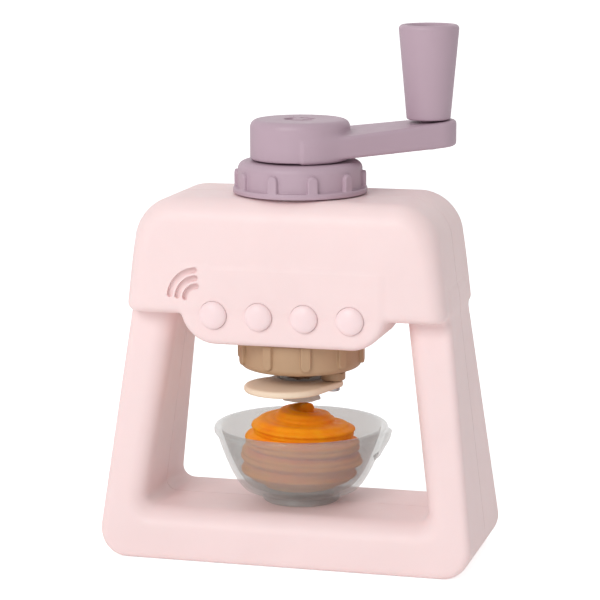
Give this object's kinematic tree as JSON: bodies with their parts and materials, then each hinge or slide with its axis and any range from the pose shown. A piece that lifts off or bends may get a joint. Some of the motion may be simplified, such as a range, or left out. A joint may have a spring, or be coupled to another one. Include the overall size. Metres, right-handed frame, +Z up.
{
  "type": "hand-cranked play-dough ice cream press",
  "caption": "Toy ice cream maker: A-frame stand with a hand crank and screw piston above a swinging nozzle, push buttons and a clear bowl with a dough swirl.",
  "frame": {"origin": "on the ground under the barrel axis, midway between the front and rear halves of the base", "axes": "+Z up along the barrel axis, -Y towards the front with the buttons, +X to the right seen from the front"},
  "size_m": [0.1706, 0.0833, 0.2374],
  "materials": {
    "pink_shell": "satin moulded",
    "button": "satin moulded",
    "mauve": "satin moulded",
    "tan": "satin moulded",
    "cream": "satin moulded",
    "spout": "satin moulded",
    "barrel": "satin moulded",
    "rubber": "soft matt",
    "steel": "plain",
    "clear_bowl": "clear polished",
    "dough": "soft matt modelling dough"
  },
  "bodies": {
    "frame": {"front_shell": "pink_shell", "rear_shell": "pink_shell", "case_screw_1": "steel", "case_screw_2": "steel", "case_screw_3": "steel", "case_screw_4": "steel", "case_screw_5": "steel", "case_screw_6": "steel", "button_mat": "rubber", "extrusion_barrel": "barrel", "nozzle_gasket": "rubber", "nozzle_seat": "tan", "pivot_screw": "steel"},
    "lid": {"cap_seal": "rubber", "thrust_washer": "barrel"},
    "cap": {"top_cap": "mauve"},
    "crank": {"crank_arm": "mauve", "grip_axle": "mauve", "lead_screw": "cream", "retaining_ring": "steel"},
    "grip": {"crank_grip": "mauve"},
    "piston": {"piston": "cream", "piston_seal": "rubber"},
    "nozzle_collar": {"nozzle_cap": "tan"},
    "nozzle_swing": {"nozzle_plate": "cream", "star_spout": "spout"},
    "bowl": {"bowl": "clear_bowl", "dough_swirl": "dough"},
    "button_1": {"button_1": "button"},
    "button_2": {"button_2": "button"},
    "button_3": {"button_3": "button"},
    "button_4": {"button_4": "button"}
  },
  "joints": [
    {"name": "lid_lift", "type": "slide", "parent": "frame", "child": "lid", "axis": [0, 0, 1], "range_m": [0, 0.085]},
    {"name": "cap_turn", "type": "hinge", "parent": "lid", "child": "cap", "pos_m": [0, 0, 0.1712], "axis": [0, 0, 1], "range_deg": [0, 60]},
    {"name": "crank_turn", "type": "hinge", "parent": "lid", "child": "crank", "pos_m": [0, 0, 0.1792], "axis": [0, 0, 1], "range_deg": [-2160, 0]},
    {"name": "piston_travel", "type": "slide", "parent": "lid", "child": "piston", "axis": [0, 0, -1], "range_m": [0, 0.0485]},
    {"name": "grip_spin", "type": "hinge", "parent": "crank", "child": "grip", "pos_m": [0.05187, 0.02995, 0.2092], "axis": [0, 0, 1], "continuous": true},
    {"name": "collar_turn", "type": "hinge", "parent": "frame", "child": "nozzle_collar", "pos_m": [0, 0, 0.0912], "axis": [0, 0, 1], "range_deg": [-60, 0]},
    {"name": "nozzle_swing_out", "type": "hinge", "parent": "frame", "child": "nozzle_swing", "pos_m": [0.016, -0.004, 0.0782], "axis": [0, 0, 1], "range_deg": [0, 100]},
    {"name": "bowl_slide", "type": "slide", "parent": "frame", "child": "bowl", "axis": [0, -1, 0], "range_m": [0, 0.115]},
    {"name": "button_1_press", "type": "slide", "parent": "frame", "child": "button_1", "axis": [0, 1, 0], "range_m": [0, 0.0015], "stiffness_N_per_m": 400, "springref_m": -0.001},
    {"name": "button_2_press", "type": "slide", "parent": "frame", "child": "button_2", "axis": [0, 1, 0], "range_m": [0, 0.0015], "stiffness_N_per_m": 400, "springref_m": -0.001},
    {"name": "button_3_press", "type": "slide", "parent": "frame", "child": "button_3", "axis": [0, 1, 0], "range_m": [0, 0.0015], "stiffness_N_per_m": 400, "springref_m": -0.001},
    {"name": "button_4_press", "type": "slide", "parent": "frame", "child": "button_4", "axis": [0, 1, 0], "range_m": [0, 0.0015], "stiffness_N_per_m": 400, "springref_m": -0.001}
  ],
  "couplings": [
    {"joint": "piston_travel", "follows": "crank_turn", "m_per_rad": -0.0012732}
  ]
}
